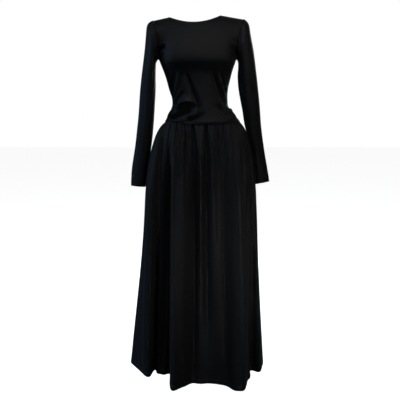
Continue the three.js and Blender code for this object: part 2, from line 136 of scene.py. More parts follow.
def creaseHeight(creases, x, z):
    # soft ridges and hollows along bent lines. Each falls off over its own width above it, or on its
    # right where it is steep, and over another on its other side
    overrun, fading = dress["creaseOverrun"], dress["creaseTaper"]
    total = np.zeros_like(x)
    for x0, z0, xBend, zBend, x1, z1, widthAbove, widthBelow, height in creases:
        run = np.array([x1 - x0, z1 - z0])
        part = ((x - x0) * run[0] + (z - z0) * run[1]) / (run @ run)
        # the place on the bend that lies level with the point
        bend = ((xBend - x0) * run[0] + (zBend - z0) * run[1]) / (run @ run)
        near = np.clip(part, 0, 1)
        near = near / np.maximum(bend + np.sqrt(bend ** 2 + (1 - 2 * bend) * near), 1e-9)
        lineX = (1 - near) ** 2 * x0 + 2 * near * (1 - near) * xBend + near ** 2 * x1
        lineZ = (1 - near) ** 2 * z0 + 2 * near * (1 - near) * zBend + near ** 2 * z1
        across = np.array([-run[1], run[0]])
        across *= np.sign(across[0] if abs(run[1]) > abs(run[0]) else across[1])
        above = (x - lineX) * across[0] + (z - lineZ) * across[1] > 0
        width = np.where(above, widthAbove, widthBelow)
        taper = smoothStep(-overrun, fading, part) * smoothStep(1 + overrun, 1 - fading, part)
        total += height * taper * bell(np.hypot(x - lineX, z - lineZ), width)
    return total


def softWrinkles(points, settings, seedShift=0):
    # slow unevenness of hanging cloth
    size, stretch, height = settings["wrinkles"]
    flat = points.reshape(-1, 3)
    seed = dress["noiseSeed"] + seedShift
    places = flat * np.array([1 / size, 1 / size, 1 / (size * stretch)]) + seed
    values = np.array([noise.noise(Vector(place)) for place in places])
    return height * values.reshape(points.shape[:2])


def hemRelief(aboveLine, settings):
    # a turned hem stands out below its sewn line, which lies in a groove
    step, groove = settings["hemRelief"]
    width = dress["hemLineWidth"]
    return step * smoothStep(1, -1, aboveLine / width) - groove * bell(aboveLine, width)


# Meshes

def meshPiece(name, bm):
    mesh = bpy.data.meshes.new(name)
    bm.to_mesh(mesh)
    bm.free()
    piece = bpy.data.objects.new(name, mesh)
    bpy.context.collection.objects.link(piece)
    return piece


def clothUv(across, down):
    # the cloth laid flat, for the knit
    return np.stack(np.broadcast_arrays(across[None, :], down), axis=2)


def sheetFromGrid(name, points, uv, closed=False):
    # cloth through a grid of points, with its thickness inwards
    rows, columns = points.shape[0] - 1, points.shape[1] - 1
    bm = bmesh.new()
    bmesh.ops.create_grid(bm, x_segments=columns, y_segments=rows, size=0.5)
    uvLayer = bm.loops.layers.uv.new("cloth")
    places = {}
    for vert in bm.verts:
        places[vert] = (round((vert.co.y + 0.5) * rows), round((vert.co.x + 0.5) * columns))
    for face in bm.faces:
        for loop in face.loops:
            loop[uvLayer].uv = uv[places[loop.vert]]
        face.smooth = True
    for vert, place in places.items():
        vert.co = points[place]
    if closed:
        bmesh.ops.remove_doubles(bm, verts=bm.verts, dist=dress["mergeDistance"])
    piece = meshPiece(name, bm)
    wall = piece.modifiers.new("cloth thickness", "SOLIDIFY")
    wall.thickness = dress["clothThickness"]
    wall.offset = -1
    wall.use_quality_normals = True
    return piece


def finishPiece(piece, material, node=None):
    piece.data.materials.append(material)
    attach(piece, "root")
    if node:
        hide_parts(node)


def stitchRow(bm, template, path, normals, spacing, offset):
    # small stitches laid end to end along a line of points on the cloth
    length = lengthAlong(path)
    steps = np.diff(length)
    count = max(int(length[-1] / spacing), 1)
    for place in (np.arange(count) + 0.5) * length[-1] / count:
        index = min(int(np.searchsorted(length, place, side="right")) - 1, len(steps) - 1)
        part = (place - length[index]) / max(steps[index], 1e-9)
        centre = path[index] * (1 - part) + path[index + 1] * part
        along = Vector(path[index + 1] - path[index]).normalized()
        out = Vector(normals[index])
        across = out.cross(along).normalized()
        out = along.cross(across)
        turn = Matrix((along, across, out)).transposed().to_4x4()
        turn.translation = Vector(centre) + out * offset
        template.transform(turn)
        bm.from_mesh(template)
        template.transform(turn.inverted())


def stitchTemplate(length, width):
    bm = bmesh.new()
    bmesh.ops.create_icosphere(bm, subdivisions=1, radius=0.5)
    bmesh.ops.scale(bm, vec=(length, width, width), verts=bm.verts)
    mesh = bpy.data.meshes.new("stitch")
    bm.to_mesh(mesh)
    bm.free()
    return mesh


# Materials

def newGroup(name, inputs, outputs):
    group = bpy.data.node_groups.new(name, "ShaderNodeTree")
    for label, value in inputs.items():
        socket = group.interface.new_socket(name=label, in_out="INPUT", socket_type="NodeSocketFloat")
        socket.default_value = value
    for label in outputs:
        group.interface.new_socket(name=label, in_out="OUTPUT", socket_type="NodeSocketFloat")
    start = group.nodes.new("NodeGroupInput")
    end = group.nodes.new("NodeGroupOutput")
    start.location = (-900, 0)
    end.location = (700, 0)
    return group, start, end


def newMaterial(name):
    material = bpy.data.materials.new(name)
    material.use_nodes = True
    return material, material.node_tree, material.node_tree.nodes["Principled BSDF"]


def setSockets(node, values):
    for name, value in values.items():
        node.inputs[name].default_value = value


def addNode(tree, kind, place, label=None, **settings):
    node = tree.nodes.new(kind)
    node.location = place
    if label:
        node.label = label
    for key, value in settings.items():
        setattr(node, key, value)
    return node


def mathNode(tree, operation, place, first, second=None, label=None):
    node = addNode(tree, "ShaderNodeMath", place, label, operation=operation)
    for index, source in enumerate((first, second)):
        if source is None:
            continue
        if isinstance(source, (int, float)):
            node.inputs[index].default_value = source
        else:
            tree.links.new(source, node.inputs[index])
    return node.outputs[0]


def rangeNode(tree, place, value, limits, label=None):
    node = addNode(tree, "ShaderNodeMapRange", place, label)
    setSockets(node, limits)
    tree.links.new(value, node.inputs["Value"])
    return node.outputs[0]


def mixNode(tree, place, label, factor, first, second):
    # first colour where the factor is 0, second where it is 1
    node = addNode(tree, "ShaderNodeMix", place, label, data_type="RGBA")
    setSockets(node, {"A": (*first, 1), "B": (*second, 1)})
    tree.links.new(factor, node.inputs["Factor"])
    return node.outputs["Result"]


def groupNode(tree, place, group, values):
    node = addNode(tree, "ShaderNodeGroup", place, node_tree=group)
    setSockets(node, values)
    return node


def bumpNode(tree, place, label, values, height):
    node = addNode(tree, "ShaderNodeBump", place, label)
    setSockets(node, values)
    tree.links.new(height, node.inputs["Height"])
    return node


knitShape = {
    "rowLean": 0.9,              # how far the rows of loops rise over each wale
    "rowRelief": 0.3,
    "darkShade": 0.72,
    "lightShade": 1.12,
}


def knitGroup():
    # the loops of a single jersey: upright wales crossed by rows of small loops. Height is their relief;
    # Shade is painted shade, darker in the hollows between the loops and lighter on their tops
    sizes = {"Wale Width": 0.0011, "Row Height": 0.0008}
    group, start, end = newGroup("knit loops", sizes, ("Height", "Shade"))
    relief = knitShape["rowRelief"]
    uvMap = addNode(group, "ShaderNodeUVMap", (-900, 260), uv_map="cloth")
    split = addNode(group, "ShaderNodeSeparateXYZ", (-720, 260))
    group.links.new(uvMap.outputs[0], split.inputs[0])
    across = mathNode(group, "DIVIDE", (-540, 320), split.outputs[0], start.outputs["Wale Width"])
    turns = mathNode(group, "MULTIPLY", (-380, 320), across, math.pi)
    wale = mathNode(group, "SINE", (-220, 320), turns)
    waleHeight = mathNode(group, "ABSOLUTE", (-60, 320), wale, label="wale")
    down = mathNode(group, "DIVIDE", (-540, 100), split.outputs[1], start.outputs["Row Height"])
    lean = mathNode(group, "MULTIPLY", (-380, 180), waleHeight, knitShape["rowLean"])
    leaning = mathNode(group, "ADD", (-380, 60), down, lean)
    rowTurns = mathNode(group, "MULTIPLY", (-220, 100), leaning, 2 * math.pi)
    rows = mathNode(group, "SINE", (-60, 100), rowTurns)
    rowHeight = mathNode(group, "MULTIPLY", (100, 100), rows, relief, label="rows")
    height = mathNode(group, "ADD", (260, 220), waleHeight, rowHeight)
    group.links.new(height, end.inputs["Height"])
    # painted shade: the colour is darker where the loops sink and lighter on their tops
    shade = rangeNode(group, (420, 60), height, {
        "From Min": -relief,
        "From Max": 1 + relief,
        "To Min": knitShape["darkShade"],
        "To Max": knitShape["lightShade"],
    })
    group.links.new(shade, end.inputs["Shade"])
    return group


def clothVariationGroup():
    # slow unevenness of dye and nap, with fine fuzz
    sizes = {"Patch Scale": 9.0, "Fuzz Scale": 900.0, "Amount": 0.2}
    group, start, end = newGroup("cloth variation", sizes, ("Tone", "Nap", "Fuzz"))
    coords = addNode(group, "ShaderNodeTexCoord", (-900, 300))
    patches = addNode(group, "ShaderNodeTexNoise", (-640, 320), "patches")
    setSockets(patches, {"Detail": 3, "Roughness": 0.55})
    fuzz = addNode(group, "ShaderNodeTexNoise", (-640, 20), "fuzz")
    setSockets(fuzz, {"Detail": 2})
    for texture, scale in ((patches, "Patch Scale"), (fuzz, "Fuzz Scale")):
        group.links.new(coords.outputs["Object"], texture.inputs["Vector"])
        group.links.new(start.outputs[scale], texture.inputs["Scale"])
    centred = mathNode(group, "SUBTRACT", (-420, 320), patches.outputs["Fac"], 0.5)
    scaled = mathNode(group, "MULTIPLY", (-260, 320), centred, start.outputs["Amount"])
    tone = mathNode(group, "ADD", (-100, 320), scaled, 1.0)
    group.links.new(tone, end.inputs["Tone"])
    group.links.new(patches.outputs["Fac"], end.inputs["Nap"])
    group.links.new(fuzz.outputs["Fac"], end.inputs["Fuzz"])
    return group


knit = knitGroup()
clothVariation = clothVariationGroup()


def fabricMaterial(name, settings):
    material, tree, shader = newMaterial(name)
    loops = groupNode(tree, (-900, 60), knit, settings["knit"])
    variation = groupNode(tree, (-900, -220), clothVariation, settings["variation"])
    # the knit's painted shade, darker in the hollows of its loops, times the dye's random unevenness
    tone = mathNode(tree, "MULTIPLY", (-640, 160), loops.outputs["Shade"], variation.outputs["Tone"])
    spread = rangeNode(tree, (-640, 320), tone, settings["toneRange"])
    colour = mixNode(tree, (-440, 200), "dye_and_painted_knit_shade", spread, settings["darkColour"], settings["lightColour"])
    rough = rangeNode(tree, (-440, -60), variation.outputs["Nap"], settings["roughness"], "nap")
    loopBump = bumpNode(tree, (-440, -320), "loops", settings["loopBump"], loops.outputs["Height"])
    fuzzBump = bumpNode(tree, (-220, -320), "fuzz", settings["fuzzBump"], variation.outputs["Fuzz"])
    tree.links.new(loopBump.outputs[0], fuzzBump.inputs["Normal"])
    tree.links.new(colour, shader.inputs["Base Color"])
    tree.links.new(rough, shader.inputs["Roughness"])
    tree.links.new(fuzzBump.outputs[0], shader.inputs["Normal"])
    setSockets(shader, settings["surface"])
    return material


blackJersey = fabricMaterial("black jersey", {
    "darkColour": (0.0028, 0.0028, 0.0031),
    "lightColour": (0.0062, 0.0062, 0.0067),
    "toneRange": {"From Min": 0.65, "From Max": 1.25},   # tones of the dark and the light colour; the tone is the knit's painted shade times the dye's random unevenness
    "roughness": {"To Min": 0.49, "To Max": 0.61},
    "surface": {
        "Specular IOR Level": 0.07,
        "Sheen Weight": 0.012,
        "Sheen Roughness": 0.42,
        "Sheen Tint": (0.82, 0.88, 1.0, 1),
    },
    "knit": {"Wale Width": 0.0011, "Row Height": 0.0008},
    "variation": {"Patch Scale": 9.0, "Fuzz Scale": 900.0, "Amount": 0.2},
    "loopBump": {"Strength": 0.55, "Distance": 0.00022},
    "fuzzBump": {"Strength": 0.25, "Distance": 0.0002},
})


def threadMaterial(name, settings):
    material, tree, shader = newMaterial(name)
    coords = addNode(tree, "ShaderNodeTexCoord", (-900, 0))
    twist = addNode(tree, "ShaderNodeTexWave", (-640, 0), "twist", bands_direction="DIAGONAL")
    setSockets(twist, {"Scale": settings["twistScale"]})
    tree.links.new(coords.outputs["Object"], twist.inputs["Vector"])
    shade = twist.outputs["Fac"]
    bump = bumpNode(tree, (-300, -200), "twist", settings["twistBump"], shade)
    # painted shade: the thread is darker in the grooves of its twist and lighter on its ridges
    colour = mixNode(tree, (-400, 160), "thread", shade, settings["darkColour"], settings["lightColour"])
    tree.links.new(bump.outputs[0], shader.inputs["Normal"])
    tree.links.new(colour, shader.inputs["Base Color"])
    setSockets(shader, {"Roughness": settings["roughness"]})
    return material


blackThread = threadMaterial("black thread", {
    "darkColour": (0.012, 0.012, 0.014),
    "lightColour": (0.022, 0.022, 0.025),
    "roughness": 0.45,
    "twistScale": 900,
    "twistBump": {"Strength": 0.4, "Distance": 0.0001},
})
print("materials done")


# Waist seam, shared by bodice and skirt

waist = {
    "left": -0.127,
    "right": 0.153,
    "front": -0.100,
    "back": 0.095,
    # turn, height of the seam
    "seam": [
        (0, -0.384), (45, -0.38), (78, -0.391), (100, -0.391), (125, -0.386),
        (180, -0.384), (270, -0.384), (360, -0.384),
    ],
}


def waistHeight(turn):
    return smoothTable(waist["seam"], 1, np.mod(turn, 360))


def waistPlan(turn):
    x, y = outline(waist["left"], waist["right"], waist["front"], waist["back"], turn)
    return np.stack([x, y], axis=-1)


# Bodice

bodice = {
    "columnsPerStep": 5,
    "rows": 136,
    "edgeRows": [0.003, 0.0065],       # extra rows near both ends, as shares of a column
    "underarmHeight": -0.154,
    "upperShare": 0.46,
    "rowPower": 1.3,
    "swayPower": 2.3,
    "shoulderCurve": 2.1,
    "shoulderSeamY": 0.006,
    "armholeFront": -0.068,
    "armholeBack": 0.062,
    "armholeBow": 0.005,
    "neckRoundness": 0.85,
    "neckHemDepth": 0.009,
    "neckHemGroove": 0.00055,
    "neckHemGrooveWidth": 0.0015,
    "wrinkles": (0.06, 1.2, 0.0012),   # size, stretch upwards, height
    "wrinkleFade": 0.06,         # share of a column that wrinkles fade over at its ends
    "sideFade": (0.008, 0.046),  # distances from the side seams between which creases set in
    "easePasses": 300,
    "easeRows": (54, 86),        # rows between which the easing sets in
    "easeEdgeRows": 3,
    "easeStrength": 0.5,
    "knitRow": 40,               # the row whose girth lays out the knit
    # height, left, right, front, back
    "sections": [
        (-0.394, -0.127, 0.153, -0.100, 0.095),
        (-0.384, -0.127, 0.153, -0.100, 0.095),
        (-0.372, -0.121, 0.145, -0.097, 0.092),
        (-0.354, -0.115, 0.130, -0.091, 0.085),
        (-0.332, -0.102, 0.111, -0.085, 0.076),
        (-0.300, -0.099, 0.105, -0.080, 0.070),
        (-0.266, -0.109, 0.106, -0.082, 0.072),
        (-0.223, -0.122, 0.116, -0.088, 0.080),
        (-0.198, -0.131, 0.123, -0.092, 0.086),
        (-0.180, -0.138, 0.129, -0.094, 0.090),
        (-0.165, -0.144, 0.134, -0.095, 0.093),
        (-0.154, -0.149, 0.138, -0.095, 0.095),
    ],
    # how far the front is squared off: height, flatness
    "chestFlatness": [(-0.394, 0), (-0.27, 0.05), (-0.22, 0.25), (-0.18, 0.45), (-0.154, 0.54)],
    # fullness over the bust: height, lift
    "bust": [
        (-0.226, 0.0), (-0.208, 0.0004), (-0.196, 0.003), (-0.184, 0.0095), (-0.175, 0.0165),
        (-0.168, 0.021), (-0.16, 0.0232), (-0.148, 0.024), (-0.13, 0.0225), (-0.108, 0.017),
        (-0.082, 0.0095), (-0.056, 0.0035), (-0.030, 0.0),
    ],
    "bustCentre": 0.004,
    "bustHalfWidth": 0.148,
    "bustEdge": 0.060,
    "bustMiddleDip": 0.07,
    "bustMiddleWidth": 0.028,
    # creases on the front: x and z of the start, of the bend and of the end, width of the fall
    # above and below, height
    "frontCreases": [
        # cloth bunched over the left hip: an arched roll that turns down at its right end, the
        # deep hollow under it, and the lobe and the pinch below that
        (-0.08, -0.326, -0.048, -0.294, -0.006, -0.318, 0.015, 0.009, 0.015),
        (-0.126, -0.38, -0.07, -0.352, -0.016, -0.337, 0.015, 0.0075, -0.024),
        (-0.018, -0.302, -0.004, -0.328, -0.006, -0.364, 0.007, 0.006, 0.011),
        (-0.112, -0.36, -0.098, -0.352, -0.082, -0.342, 0.004, 0.004, 0.0035),
        (-0.122, -0.332, -0.092, -0.332, -0.058, -0.318, 0.007, 0.006, 0.006),
        (-0.05, -0.359, -0.026, -0.354, 0.002, -0.359, 0.0065, 0.006, 0.0065),
        (-0.05, -0.382, -0.012, -0.367, 0.022, -0.347, 0.005, 0.005, -0.013),
        (-0.104, -0.383, -0.076, -0.376, -0.046, -0.369, 0.006, 0.006, 0.004),
        # hollow down the middle
        (-0.048, -0.206, -0.016, -0.262, 0.002, -0.358, 0.0055, 0.01, -0.0155),
        (-0.012, -0.252, 0.014, -0.29, 0.022, -0.356, 0.018, 0.008, 0.004),
        # drag lines down the right side
        (0.046, -0.196, 0.076, -0.26, 0.104, -0.342, 0.006, 0.012, -0.0115),
        (0.064, -0.212, 0.083, -0.268, 0.104, -0.352, 0.007, 0.0055, 0.011),
        (0.078, -0.198, 0.086, -0.226, 0.096, -0.266, 0.0045, 0.006, -0.0085),
        (0.086, -0.22, 0.092, -0.242, 0.102, -0.276, 0.0045, 0.004, 0.0065),
        (0.068, -0.304, 0.09, -0.33, 0.12, -0.354, 0.007, 0.005, 0.007),
        (0.06, -0.314, 0.084, -0.342, 0.116, -0.367, 0.0035, 0.006, -0.008),
        (0.104, -0.336, 0.124, -0.346, 0.137, -0.368, 0.01, 0.009, 0.008),
        # short lines at the left side
        (-0.07, -0.196, -0.076, -0.24, -0.088, -0.292, 0.007, 0.007, 0.0052),
        (-0.084, -0.204, -0.094, -0.244, -0.102, -0.29, 0.008, 0.009, -0.0055),
        (-0.062, -0.262, -0.076, -0.288, -0.096, -0.322, 0.005, 0.006, 0.0042),
        (-0.052, -0.27, -0.066, -0.3, -0.088, -0.332, 0.006, 0.007, -0.0045),
        # roll of cloth above the waist seam
        (-0.01, -0.384, 0.05, -0.381, 0.14, -0.374, 0.006, 0.005, 0.0024),
        # pulls from the armholes
        (-0.152, -0.12, -0.14, -0.108, -0.116, -0.097, 0.0045, 0.005, 0.005),
        (-0.156, -0.136, -0.142, -0.122, -0.118, -0.112, 0.005, 0.006, -0.006),
        (-0.154, -0.15, -0.14, -0.138, -0.12, -0.128, 0.005, 0.005, 0.0035),
        (0.148, -0.12, 0.136, -0.106, 0.114, -0.094, 0.0045, 0.005, 0.005),
        (0.146, -0.14, 0.13, -0.126, 0.11, -0.114, 0.005, 0.006, -0.006),
        (0.142, -0.152, 0.128, -0.14, 0.11, -0.132, 0.005, 0.005, 0.0035),
    ],
    "backCreases": [
        (-0.095, -0.3, -0.03, -0.316, 0.06, -0.3, 0.01, 0.008, 0.0065),
        (-0.07, -0.326, 0.01, -0.338, 0.098, -0.32, 0.009, 0.009, 0.006),
        (-0.09, -0.352, -0.02, -0.36, 0.05, -0.35, 0.01, 0.008, 0.0055),
        (-0.06, -0.314, 0.000, -0.326, 0.07, -0.312, 0.007, 0.007, -0.0055),
        (0.02, -0.362, 0.07, -0.37, 0.12, -0.358, 0.008, 0.008, 0.005),
        (0.06, -0.235, 0.078, -0.262, 0.092, -0.296, 0.007, 0.007, 0.005),
        (-0.068, -0.228, -0.086, -0.256, -0.096, -0.29, 0.007, 0.007, 0.005),
        (-0.146, -0.128, -0.128, -0.116, -0.1, -0.11, 0.006, 0.006, 0.0045),
        (0.14, -0.13, 0.122, -0.116, 0.094, -0.108, 0.006, 0.006, 0.0045),
    ],
}
shoulders = {
    "left": {"neckX": -0.111, "neckZ": -0.0045, "tipX": -0.168, "tipZ": -0.017, "underarmX": -0.149},
    "right": {"neckX": 0.080, "neckZ": 0.0025, "tipX": 0.163, "tipZ": -0.012, "underarmX": 0.138},
}
neckEdge = {
    "front": {"y": -0.046, "drop": 0.024, "upperCurve": 1.7},
    "back": {"y": 0.050, "drop": 0.022, "upperCurve": 2.2},
}
# columns of the bodice in steps: armhole, shoulder seam, neck, shoulder seam, armhole
columnSteps = {"armhole": 10, "shoulder": 3, "neck": 14}
# turns at the waist of the columns that end at the underarm, the shoulder tip and the neck
columnTurns = {"left": (0, 38, 52), "right": (180, 141, 124)}


def armholePoint(shoulder, angle):
    # 0 at the underarm, 90 at the front, 180 at the shoulder tip
    down = rounded(np.cos(np.radians(angle)))
    forward = rounded(np.sin(np.radians(angle)))
    tipX, tipZ, underX = shoulder["tipX"], shoulder["tipZ"], shoulder["underarmX"]
    underZ = bodice["underarmHeight"]
    bow = -np.sign(tipX) * bodice["armholeBow"] * forward ** 2
    reach = np.where(forward >= 0, bodice["armholeFront"], -bodice["armholeBack"])
    x = (tipX + underX) / 2 + (underX - tipX) / 2 * down + bow
    y = reach * forward + bodice["shoulderSeamY"] * (1 - down) / 2
    z = (tipZ + underZ) / 2 + (underZ - tipZ) / 2 * down
    return np.array([x, y, z])


def columnTop(side, step):
    # a column's turn at the waist, its highest point, and how squarely it rounds over the top
    armhole, shoulder, neck = (columnSteps[key] for key in ("armhole", "shoulder", "neck"))
    total = 2 * armhole + 2 * shoulder + neck
    half = "left" if step < total / 2 else "right"
    edge = shoulders[half]
    inward = step if half == "left" else total - step
    underTurn, tipTurn, neckTurn = columnTurns[half]
    seamY, curve = bodice["shoulderSeamY"], bodice["shoulderCurve"]
    if inward <= armhole:
        part = inward / armhole
        angle = (1 if side == "front" else -1) * 180 * part
        return underTurn + (tipTurn - underTurn) * part, armholePoint(edge, angle), curve
    if inward <= armhole + shoulder:
        part = (inward - armhole) / shoulder
        x = edge["tipX"] + (edge["neckX"] - edge["tipX"]) * part
        z = edge["tipZ"] + (edge["neckZ"] - edge["tipZ"]) * part
        return tipTurn + (neckTurn - tipTurn) * part, np.array([x, seamY, z]), curve
    part = (step - armhole - shoulder) / neck
    cut, left, right = neckEdge[side], shoulders["left"], shoulders["right"]
    scoop = max(math.sin(part * math.pi), 0)
    firstTurn, lastTurn = columnTurns["left"][2], columnTurns["right"][2]
    x = left["neckX"] + (right["neckX"] - left["neckX"]) * (0.5 - math.cos(part * math.pi) / 2)
    y = seamY + (cut["y"] - seamY) * scoop ** bodice["neckRoundness"]
    z = left["neckZ"] + (right["neckZ"] - left["neckZ"]) * part - cut["drop"] * scoop ** 2
    curve += (cut["upperCurve"] - curve) * scoop
    return firstTurn + (lastTurn - firstTurn) * part, np.array([x, y, z]), curve


def bodiceReach(z):
    return [smoothTable(bodice["sections"], column, z) for column in (1, 2, 3, 4)]


def bodiceColumn(side, step, parts):
    turn, top, curve = columnTop(side, step)
    turn = turn if side == "front" else 360 - turn
    underarm = bodice["underarmHeight"]
    above = min(max((top[2] - underarm) / -underarm, 0), 1)
    split = 1 - bodice["upperShare"] * above ** 0.5
    climb = 1 - np.clip(1 - parts / split, 0, 1) ** bodice["rowPower"]
    z = waistHeight(turn) + (underarm - waistHeight(turn)) * climb
    flatness = smoothTable(bodice["chestFlatness"], 1, z)
    x, y = outline(*bodiceReach(z), np.full_like(z, turn), flatness)
    x[0], y[0] = waistPlan(turn)
    upper = parts > split
    if upper.any():
        swing = np.pi / 2 * np.clip((parts - split) / (1 - split), 0, 1)
        rise = np.sin(swing) ** (2 / curve)
        fullness = np.clip(np.cos(swing), 0, 1) ** (2 / curve)
        startX, startY = outline(*bodiceReach(underarm), turn, bodice["chestFlatness"][-1][1])
        x = np.where(upper, startX + (top[0] - startX) * rise ** bodice["swayPower"], x)
        y = np.where(upper, top[1] + (startY - top[1]) * fullness, y)
        z = np.where(upper, underarm + (top[2] - underarm) * rise, z)
    return np.stack([x, y, z], axis=1)


def edgeRows(rows, close):
    # even rows, with a few more close to both ends for the sewn edges
    middle = np.linspace(0, 1, rows + 1)[1:-1]
    return np.concatenate([[0], close, middle, 1 - np.array(close[::-1]), [1]])


def easeForm(points):
    # draws the cloth smooth between its edges, as stretched jersey does, in its upper rows
    rows = len(points)
    row = np.arange(1, rows - 1)
    nearTop = np.clip((rows - 1 - row) / bodice["easeEdgeRows"], 0, 1)
    strength = smoothStep(*bodice["easeRows"], row) * nearTop
    strength = bodice["easeStrength"] * strength[:, None, None]
    for _ in range(bodice["easePasses"]):
        middle = (points[1:-1, :-2] + points[1:-1, 2:] + points[:-2, 1:-1] + points[2:, 1:-1]) / 4
        points[1:-1, 1:-1] += strength * (middle - points[1:-1, 1:-1])
    return points


def bustLift(x, z):
    away = np.abs(x - bodice["bustCentre"])
    half, edge = bodice["bustHalfWidth"], bodice["bustEdge"]
    across = 1 - smoothStep(half - edge, half, away)
    dip = 1 - bodice["bustMiddleDip"] * bell(away, bodice["bustMiddleWidth"])
    return smoothTable(bodice["bust"], 1, z) * across * dip


def makeBodice(side):
    steps = 2 * columnSteps["armhole"] + 2 * columnSteps["shoulder"] + columnSteps["neck"]
    columns = np.linspace(0, steps, steps * bodice["columnsPerStep"] + 1)
    parts = edgeRows(bodice["rows"], bodice["edgeRows"])
    points = np.stack([bodiceColumn(side, step, parts) for step in columns], axis=1)
    points = easeForm(points)
    if side == "back":
        points = points[:, ::-1]
    x, z = points[:, :, 0], points[:, :, 2]
    inFront = smoothStep(*bodice["sideFade"], np.abs(points[:, :, 1]))
    if side == "front":
        points[:, :, 1] -= bustLift(x, z)
    normals = gridNormals(points)
    lift = creaseHeight(bodice[side + "Creases"], x, z) * inFront
    inner = np.minimum(parts, 1 - parts)[:, None]
    lift += softWrinkles(points, bodice) * smoothStep(0, bodice["wrinkleFade"], inner)
    belowTop = edgeDistance(points, -1)
    width = dress["seamGrooveWidth"]
    lift -= dress["seamGroove"] * bell(edgeDistance(points, 0), width)
    lift -= dress["edgeGroove"] * bell(belowTop, width)
    fromHem = belowTop - bodice["neckHemDepth"]
    lift -= bodice["neckHemGroove"] * bell(fromHem, bodice["neckHemGrooveWidth"])
    points += normals * lift[:, :, None]
    points[:, :, 1] += (-1 if side == "front" else 1) * dress["seamGap"] / 2
    climbed = np.zeros_like(z)
    climbed[1:] = np.cumsum(np.linalg.norm(np.diff(points, axis=0), axis=2), axis=0)
    uv = clothUv(lengthAlong(points[bodice["knitRow"]]), climbed)
    piece = sheetFromGrid("bodice_" + side + "_cloth", points, uv)
    finishPiece(piece, blackJersey, "bodice_" + side)
    return piece, points, normals


bodiceSides = {side: makeBodice(side) for side in ("front", "back")}
print("bodice done")


# Sleeves

sleeves = {
    "sides": 84,
    "rings": 150,
    "edgeRings": [0.0012, 0.003],
    "bowFade": 3.0,              # rows of the table over which the armhole's form fades
    "frontLean": 0.010,          # how far the front of each sleeve leans towards the body
    "cuffHemDepth": 0.014,
    "hemRelief": (0.0004, 0.0006),     # step at the sewn line, depth of its groove
    "wrinkles": (0.05, 1.8, 0.0011),
    "creaseTaper": 0.25,
    "liftFade": 0.02,            # distances from the armhole seam over which its edge takes hold
    "gapFade": 0.03,
    "knitRing": 60,              # the ring whose girth lays out the knit
    "knitLength": 0.62,
    # inner x and z, outer x and z, reach to the front and back
    "left": [
        (-0.149, -0.154, -0.168, -0.017, -0.068, 0.062),
        (-0.153, -0.158, -0.1805, -0.025, -0.069, 0.063),
        (-0.156, -0.163, -0.1885, -0.040, -0.069, 0.064),
        (-0.159, -0.171, -0.1925, -0.076, -0.068, 0.065),
        (-0.160, -0.187, -0.199, -0.130, -0.065, 0.064),
        (-0.161, -0.216, -0.208, -0.198, -0.060, 0.062),
        (-0.162, -0.266, -0.216, -0.263, -0.049, 0.060),
        (-0.166, -0.335, -0.222, -0.335, -0.040, 0.060),
        (-0.172, -0.410, -0.230, -0.410, -0.030, 0.061),
        (-0.181, -0.487, -0.241, -0.487, -0.020, 0.061),
        (-0.193, -0.562, -0.2525, -0.562, -0.011, 0.062),
        (-0.203, -0.627, -0.2575, -0.623, -0.006, 0.064),
    ],
    "right": [
        (0.138, -0.154, 0.163, -0.012, -0.068, 0.062),
        (0.141, -0.158, 0.174, -0.021, -0.069, 0.063),
        (0.1435, -0.163, 0.182, -0.036, -0.069, 0.064),
        (0.145, -0.172, 0.188, -0.072, -0.068, 0.065),
        (0.145, -0.188, 0.199, -0.130, -0.065, 0.064),
        (0.1435, -0.218, 0.209, -0.200, -0.060, 0.062),
        (0.148, -0.270, 0.217, -0.266, -0.049, 0.060),
        (0.162, -0.340, 0.225, -0.336, -0.040, 0.060),
        (0.1745, -0.410, 0.232, -0.410, -0.028, 0.061),
        (0.1955, -0.487, 0.2435, -0.484, -0.018, 0.061),
        (0.2070, -0.562, 0.256, -0.556, -0.011, 0.062),
        (0.2135, -0.617, 0.266, -0.607, -0.006, 0.064),
    ],
    # the long crease down the front of each sleeve, then the others: angle round it and place along
    # it, at the start and end, width, height
    "frontCrease": {
        "left": (52, 0.04, 56, 1.05, 22, 0.0060),
        "right": (62, 0.04, 66, 1.05, 20, 0.0060),
    },
    "creases": [
        (118, 0.22, 122, 0.98, 9, 0.0014),
        (150, 0.08, 140, 0.45, 12, -0.0014),
        (40, 0.50, 70, 0.62, 10, -0.0022),
        (30, 0.42, 64, 0.55, 9, 0.0020),
        (230, 0.20, 240, 0.70, 12, -0.0018),
        (265, 0.35, 255, 0.92, 10, 0.0018),
        (300, 0.46, 330, 0.58, 10, -0.0024),
        (310, 0.40, 345, 0.50, 9, 0.0022),
    ],
}


def sleeveCreases(side, around, along):
    total = np.zeros(np.broadcast(around, along).shape)
    for crease in sleeves["creases"] + [sleeves["frontCrease"][side]]:
        angle0, start, angle1, end, width, height = crease
        part = (along - start) / (end - start)
        away = np.abs(around - angle0 - (angle1 - angle0) * part)
        away = np.minimum(away, 360 - away)
        fading = sleeves["creaseTaper"]
        taper = smoothStep(0, fading, part) * smoothStep(1, 1 - fading, part)
        total += height * taper * bell(away, width)
    return total


